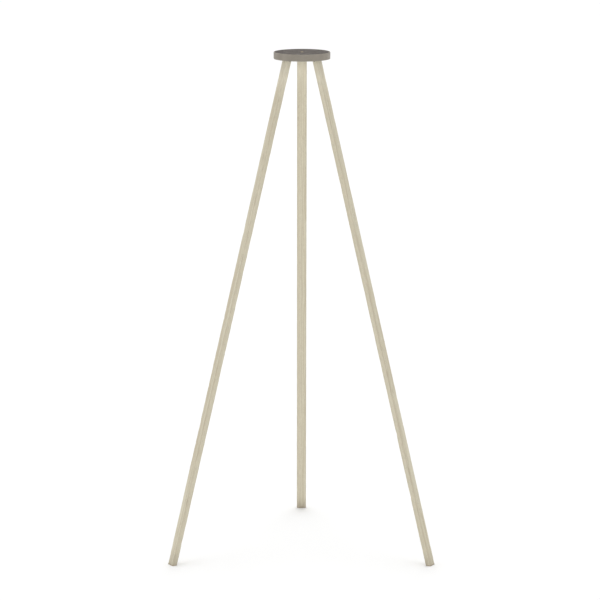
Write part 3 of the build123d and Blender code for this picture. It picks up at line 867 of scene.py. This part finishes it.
def leather_piece():
    """The hide on the platform: a pressed ring where cameras have stood, and a soft, slightly uneven edge."""
    gap, outer_edge, hole_edge = 0.1 * MM, 0.6 * MM, 0.45 * MM
    ring_radius, ring_width, ring_depth = 46 * MM, 2.2 * MM, 0.16 * MM
    dish_width, dish_depth, unevenness, untouched = 2.5 * MM, 0.22 * MM, 0.05 * MM, -0.6 * MM
    rings, segments = 60, 220
    mark_width, middle_width, rim_start, rim_width = 6 * MM, 24 * MM, 72 * MM, 3 * MM
    radius = CROWN_RADIUS - RIM_WIDTH - gap
    corners = [(SCREW_HOLE, 0, hole_edge), (SCREW_HOLE, -LEATHER_THICKNESS, 0)]
    corners += [(radius, -LEATHER_THICKNESS, 0), (radius, 0, outer_edge)]
    outline = rounded_outline(corners, 6)
    outer, hole = outline[-1], outline[0]
    outline += [Vector((outer.x + (hole.x - outer.x) * k / rings, 0)) for k in range(1, rings)]

    def uneven(r, z, angle):
        if z < untouched:
            return r, z
        x, y = cos(angle) * r, sin(angle) * r
        press = ring_depth * exp(-(((r - ring_radius) / ring_width) ** 2))
        press += unevenness * (0.5 + 0.5 * wander(x * 110, y * 110, 2))
        press += dish_depth * exp(-(((r - SCREW_HOLE) / dish_width) ** 2))
        return r, z - press

    piece = lathe("platform_leather_hide", outline, segments, uneven)
    # The wear attribute: cameras' feet, a middle that their bases rub, and a rim that hands rub
    points = points_of(piece)
    radii = np.hypot(points[:, 0], points[:, 1])
    ring = np.exp(-(((radii - ring_radius) / mark_width) ** 2))
    middle = np.exp(-((radii / middle_width) ** 2))
    rim = np.clip((radii - rim_start) / rim_width, 0, 1)
    paint(piece, "wear", np.clip(0.75 * ring + 0.5 * middle + 0.5 * rim, 0, 1))
    dress(piece, "leather")
    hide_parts("platform_leather")
    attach(piece, "crown")


# ---- Screws, bolts and brackets ----

# A 60-degree thread's depth, its crest's half width and its flank's width, in shares of its pitch
THREAD_DEPTH, CREST, FLANK = 0.6134, 0.125, 0.625


def threaded(outer, pitch, low, high):
    """A lathe shape that cuts a right-hand thread into what lies between two heights, fading in at both."""
    depth = THREAD_DEPTH * pitch

    def carve(radius, height, angle):
        if not low <= height <= high or radius < outer - depth:
            return radius, height
        fade = min(1.0, (high - height) / pitch, (height - low) / pitch)
        rise = abs(2 * (((height - pitch * angle / (2 * pi)) / pitch) % 1.0) - 1)
        groove = min(1.0, max(0.0, (rise - CREST) / FLANK))
        return min(radius, outer - depth * groove * max(fade, 0.0)), height

    return carve


def fine_steps(outline, low, high, step):
    """An outline with points added where it runs between two heights, close enough for a thread."""
    fine = []
    for here, after in zip(outline, outline[1:]):
        fine.append(here)
        inside = min(here[1], after[1]) >= low - ROUNDING and max(here[1], after[1]) <= high + ROUNDING
        if inside and here[0] > 0:
            count = max(1, round(abs(after[1] - here[1]) / step))
            start, way = np.array(here), np.array(after) - np.array(here)
            fine += [tuple(start + way * k / count) for k in range(1, count)]
    return fine + [outline[-1]]


def camera_screw_piece():
    """The 3/8 inch screw with its 16-to-the-inch thread, collar, stem and spigot, all in brass."""
    outer, pitch, steps_a_turn, hair = 4.7625 * MM, 25.4 * MM / 16, 18, 1e-6
    tip, thread_end, lead, undercut = -0.5 * MM, -6.5 * MM, 0.7 * MM, 0.6 * MM
    collar_top, collar_bottom, knob_top = -11.87 * MM, -13.87 * MM, -21 * MM
    collar, stem, spigot, waist, soft = 9.5 * MM, 4 * MM, 3 * MM, 3.9 * MM, 0.25 * MM
    box_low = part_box("camera_screw")[0].z
    outline = [(0, tip), (outer - lead, tip), (outer, tip - lead), (outer, thread_end)]
    outline += [(waist, thread_end - undercut), (waist, collar_top)]
    outline += [(collar - soft, collar_top), (collar, collar_top - soft)]
    outline += [(collar, collar_bottom + soft), (collar - soft, collar_bottom)]
    outline += [(stem, collar_bottom), (stem, knob_top), (spigot, knob_top)]
    outline += [(spigot, box_low + soft), (spigot - soft, box_low), (0, box_low)]
    outline = fine_steps(outline, thread_end, tip - hair, pitch / steps_a_turn)
    carve = threaded(outer, pitch, thread_end - hair, tip + pitch)
    piece = lathe("camera_screw_threaded", outline[::-1], 96, carve, sharp_angle=40)
    dress(piece, "brass")
    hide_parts("camera_screw")
    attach(piece, "camera_screw")


def knob_piece():
    """The knurled brass disc, with a ring turned in its face and a dish round the screw's spigot."""
    low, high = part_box("camera_screw_knob")
    outer, bottom, top = high.y, low.z, high.z
    bore, edge, dish_depth, ring_depth = 3.02 * MM, 0.6 * MM, 0.35 * MM, 0.3 * MM
    turned_edge, ring_edge, dish_edge = 0.2 * MM, 0.1 * MM, 0.3 * MM
    corners = [
        (bore, top, 0),
        (outer - edge, top, turned_edge),
        (outer, top - edge, 0),
        (outer, bottom + edge, 0),
        (outer - edge, bottom, turned_edge),
        (11.9 * MM, bottom, ring_edge),
        (11.6 * MM, bottom + ring_depth, ring_edge),
        (11.1 * MM, bottom + ring_depth, ring_edge),
        (10.8 * MM, bottom, ring_edge),
        (6.4 * MM, bottom, turned_edge),
        (5.6 * MM, bottom + dish_depth, dish_edge),
        (bore, bottom + dish_depth, 0),
    ]
    teeth, depth, groove_share, steps_a_tooth = 48, 0.55 * MM, 0.36, 10

    def knurled(radius, height, angle):
        from_groove = abs((teeth * angle / (2 * pi)) % 1.0 - 0.5)
        return min(radius, outer - depth * max(0.0, 1 - from_groove / groove_share)), height

    piece = lathe("knob_knurled", rounded_outline(corners, 3), teeth * steps_a_tooth, knurled, sharp_angle=28)
    across, pin_radius = Vector((outer + MM, 0, (bottom + top) / 2)), 1.01 * MM
    cut(piece, drill(pin_radius, across * Vector((-1, 0, 1)), across, 32))
    smooth(piece, 28)
    dress(piece, "brass")
    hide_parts("camera_screw_knob")
    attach(piece, "camera_screw")


def hinge_bolt_piece(name):
    """A slotted cheese-head bolt whose far end shows its M6 thread beyond the nut."""
    radius, pitch, steps_a_turn, head, head_height = 3 * MM, 1 * MM, 12, 5 * MM, 3.4 * MM
    soft, under_edge, point, head_gap = 0.45 * MM, 0.15 * MM, 0.6 * MM, 0.02 * MM
    thread_length, past_ears, slot_turn = 9 * MM, 7.5 * MM, 20
    length = 2 * EAR_OUTSIDE + past_ears
    leg = LegFrame(name)
    outline = [(0, -head_height), (head - 2 * soft, -head_height)]
    outline += [(head - 0.6 * soft, 0.35 * soft - head_height), (head, soft - head_height)]
    outline += [(head, -under_edge), (head - under_edge, 0), (radius, 0)]
    outline += [(radius, length - thread_length), (radius, length - point)]
    outline += [(radius - point, length), (0, length)]
    outline = fine_steps(outline, length - thread_length, length, pitch / steps_a_turn)
    carve = threaded(radius, pitch, length - thread_length, length + pitch)
    piece = lathe(name + "_hinge_bolt_threaded", outline, 64, carve, sharp_angle=40)
    half_slot, slot_depth = head / 8, head_height * 0.45
    low, high = -head_height - MM, -head_height + slot_depth
    corners = [(x, y, z) for z in (low, high) for y in (-half_slot, half_slot) for x in (-2 * head, 2 * head)]
    faces = [(0, 2, 3, 1), (4, 5, 7, 6), (0, 1, 5, 4), (2, 6, 7, 3), (0, 4, 6, 2), (1, 3, 7, 5)]
    cut(piece, new_object("slot", corners, faces))
    turn = Matrix.Rotation(radians(slot_turn), 4, "Z")
    axes = leg.across.to_track_quat("Z", "X").to_matrix().to_4x4()
    start = leg.pin + leg.across * (-EAR_OUTSIDE - head_gap)
    piece.data.transform(Matrix.Translation(start) @ axes @ turn)
    smooth(piece, 40)
    dress(piece, "steel")
    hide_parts(name + "_hinge_bolt")
    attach(piece, "crown")


def bracket_piece(name):
    """A U of pressed steel with softened edges: a base under the crown's web, and a tapered ear each side."""
    half_length, corner, soft, thickness = 13 * MM, 3 * MM, 0.45 * MM, 3 * MM
    half_root, tip_radius, tip_steps, bolt_hole = 10.5 * MM, 5.5 * MM, 20, 3.05 * MM
    head, shank, past = 3.85 * MM, 2 * MM, 4 * MM
    screw_out_mm, screw_across_mm = 8.5, 9
    leg = LegFrame(name)
    outward = leg.across.cross(UP)
    base_low = WEB_UNDERSIDE - thickness
    corners = [(i * half_length, j * EAR_OUTSIDE, corner) for i, j in ((1, 1), (-1, 1), (-1, -1), (1, -1))]
    piece = prism(name + "_bracket_pressed", rounded_outline(corners), base_low, WEB_UNDERSIDE, soft)
    placed(piece, outward, leg.across, UP, (leg.pin.x, leg.pin.y, 0))
    # An ear, seen along the pin: a wide root within the base, and straight sides that touch its round tip
    root = Vector((half_root, (base_low + WEB_UNDERSIDE) / 2 - leg.pin.z))
    tangent = atan2(root.y, root.x) - acos(tip_radius / root.length)
    turns = [-pi - tangent + (pi + 2 * tangent) * k / tip_steps for k in range(tip_steps + 1)]
    profile = [root, Vector((-root.x, root.y))]
    profile += [Vector((cos(turn), sin(turn))) * tip_radius for turn in turns]
    for low, high in ((EAR_INSIDE, EAR_OUTSIDE), (-EAR_OUTSIDE, -EAR_INSIDE)):
        ear = prism("ear", profile, low, high, soft)
        cut(piece, placed(ear, outward, UP, -leg.across, leg.pin), operation="UNION")
    reach = leg.across * 2 * EAR_OUTSIDE
    cutters = [drill(bolt_hole, leg.pin - reach, leg.pin + reach, 48)]
    sink = [(0, -MM), (head, -MM), (head, 0), (shank, head - shank), (shank, past), (0, past)]
    for i, j in ((-1, -1), (-1, 1), (1, -1), (1, 1)):
        place = leg.pin + outward * i * screw_out_mm * MM + leg.across * j * screw_across_mm * MM
        cutters.append(placed(lathe("sink", sink, 40), outward, leg.across, UP, (place.x, place.y, base_low)))
    cut(piece, *cutters)
    smooth(piece, 35)
    dress(piece, "steel")
    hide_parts(name + "_hinge_bracket")
    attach(piece, "crown")


def softened(node, body, width):
    """Stands for a CAD node: its own shape with its sharp edges rounded off a little."""
    one_place, flat, sharp = 0.001 * MM, radians(0.5), radians(35)
    slot = SLOT_OF[node]
    shape = bmesh.new()
    shape.from_mesh(frame["nodes"][node].data)
    bmesh.ops.remove_doubles(shape, verts=shape.verts, dist=one_place)
    bmesh.ops.dissolve_limit(shape, angle_limit=flat, verts=shape.verts, edges=shape.edges)
    edges = [edge for edge in shape.edges if edge.calc_face_angle(0) > sharp]
    bmesh.ops.bevel(
        shape, geom=edges, offset=width, segments=2, profile=0.5, affect="EDGES", clamp_overlap=True
    )
    mesh = bpy.data.meshes.new(node + "_softened")
    shape.to_mesh(mesh)
    shape.free()
    piece = in_scene(node + "_softened", mesh)
    smooth(piece, 30)
    dress(piece, slot)
    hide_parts(node)
    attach(piece, body)


# ---- The whole object ----


# Every CAD node that stays visible takes its slot's material
for node, piece in frame["nodes"].items():
    for slot in piece.material_slots:
        slot.link = "OBJECT"
        slot.material = MATERIALS[SLOT_OF[node]]

crown_piece()
leather_piece()
camera_screw_piece()
knob_piece()
softened("screw_cage", "crown", 0.3 * MM)
for number, leg_name in enumerate(LEGS):
    leg_piece(leg_name, number)
    foot_piece(leg_name)
    bracket_piece(leg_name)
    hinge_bolt_piece(leg_name)
    softened(leg_name + "_friction_washers", "crown", 0.25 * MM)
    softened(leg_name + "_lock_washer", "crown", 0.15 * MM)


# ---- Studio ----


def floor():
    """A sheet of pale paper under the feet, wide enough to have no edge in view."""
    wide = 60.0
    corners = [(x, y, FLOOR) for x, y in ((-wide, -wide), (wide, -wide), (wide, wide), (-wide, wide))]
    sheet = new_object("studio_floor", corners, [(0, 1, 2, 3)])
    dress(sheet, "paper")


def soft_light(name, azimuth, elevation, width, strength):
    """White light from a patch of sky some degrees wide, the same over the whole floor."""
    lamp = in_scene(name, bpy.data.lights.new(name, "SUN"))
    lamp.data.angle, lamp.data.energy = radians(width), strength
    a, e = radians(azimuth), radians(elevation)
    towards = Vector((cos(a) * cos(e), sin(a) * cos(e), sin(e)))
    lamp.matrix_world = towards.to_track_quat("Z", "Y").to_matrix().to_4x4()


def studio():
    """Even white light from all round, and wide lamps that give the legs and crown a little shape."""
    world = bpy.data.worlds.new("studio_air")
    bpy.context.scene.world = world
    world.use_nodes = True
    background = world.node_tree.nodes["Background"]
    background.inputs["Color"].default_value = (1.0, 1.0, 1.0, 1.0)
    background.inputs["Strength"].default_value = 0.34
    soft_light("left", 205, 5, 45, 1.09)
    soft_light("right", 335, 5, 45, 0.97)
    soft_light("front", 270, 4, 30, 0.42)
    soft_light("back", 85, 20, 60, 0.7)
    soft_light("ceiling", 100, 78, 70, 1.83)
    bpy.context.scene.view_settings.view_transform = "Standard"


def camera():
    """A long lens in front of the tripod and above it, looking a little down."""
    distance, height, lens, sensor, farthest = 8.043, 0.856, 176.24, 36.0, 200.0
    pitch, yaw, roll = radians(10.907), radians(0.033), radians(0.064)
    made = in_scene("camera", bpy.data.cameras.new("camera"))
    made.data.sensor_width, made.data.lens, made.data.clip_end = sensor, lens, farthest
    made.matrix_world = (
        Matrix.Translation((0, -distance, height))
        @ Matrix.Rotation(yaw, 4, "Z")
        @ Matrix.Rotation(pi / 2 - pitch, 4, "X")
        @ Matrix.Rotation(roll, 4, "Z")
    )
    bpy.context.scene.camera = made


floor()
studio()
camera()
